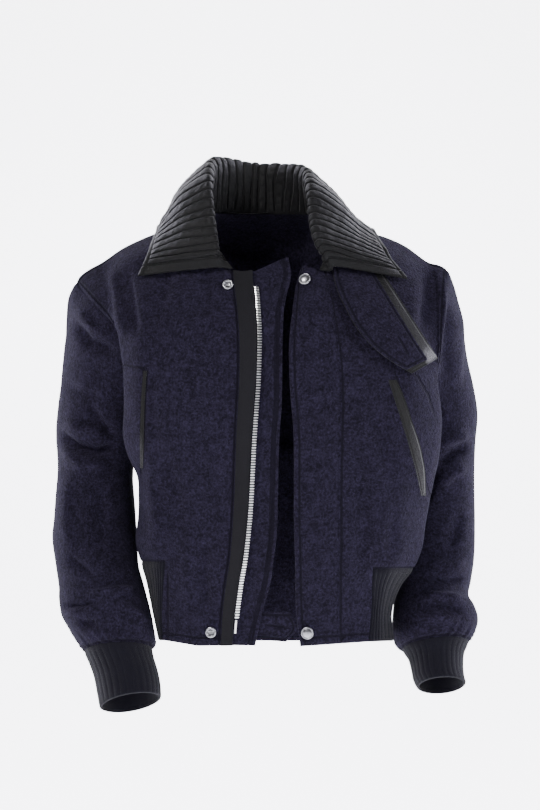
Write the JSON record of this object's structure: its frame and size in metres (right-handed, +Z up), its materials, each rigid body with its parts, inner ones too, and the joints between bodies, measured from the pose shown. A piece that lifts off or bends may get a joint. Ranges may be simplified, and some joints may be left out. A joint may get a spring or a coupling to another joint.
{
  "type": "flight jacket",
  "caption": "Hip-length wool flight jacket worn open, with a quilted nylon collar turned down, rib-knit cuffs and hem sides, a metal front zip under a snap flap, a throat tab and welt pockets.",
  "frame": {"origin": "middle of the neck base, level with the tops of the shoulders, where the wearer's neck stands", "axes": "+X to the wearer's left, +Y to the back, +Z up"},
  "size_m": [0.6202, 0.2722, 0.8071],
  "materials": {
    "wool": "dark navy melton wool, matte, slightly fuzzy",
    "rib_knit": "dark navy rib knit, matte",
    "nylon": "black quilted nylon, soft sheen",
    "zip_tape": "black woven tape, matte",
    "metal": "bright silver, satin"
  },
  "bodies": {
    "jacket": {"back": "wool", "collar": "nylon", "left_cuff": "rib_knit", "left_front": "wool", "left_pocket_strip": "nylon", "left_side_rib": "rib_knit", "left_sleeve": "wool", "right_cuff": "rib_knit", "right_front": "wool", "right_pocket_strip": "nylon", "right_side_rib": "rib_knit", "right_sleeve": "wool", "snap_cap_hem": "metal", "snap_cap_top": "metal", "snap_socket_hem": "metal", "snap_socket_top": "metal", "storm_flap": "wool", "throat_tab": "wool", "throat_tab_backing": "nylon", "waist_tab": "wool", "wind_guard": "wool", "zip_box": "metal", "zip_bridge": "metal", "zip_chain_left": "metal", "zip_chain_right": "metal", "zip_pin": "metal", "zip_slider": "metal", "zip_tape_left": "zip_tape", "zip_tape_right": "zip_tape"},
    "pull_tab": {"pull_tab": "metal"}
  },
  "joints": [
    {"name": "pull_tab_swing", "type": "hinge", "parent": "jacket", "child": "pull_tab", "pos_m": [0.09656, -0.10841, -0.5334], "axis": [-1, 0, 0], "range_deg": [0, 6.5]}
  ]
}
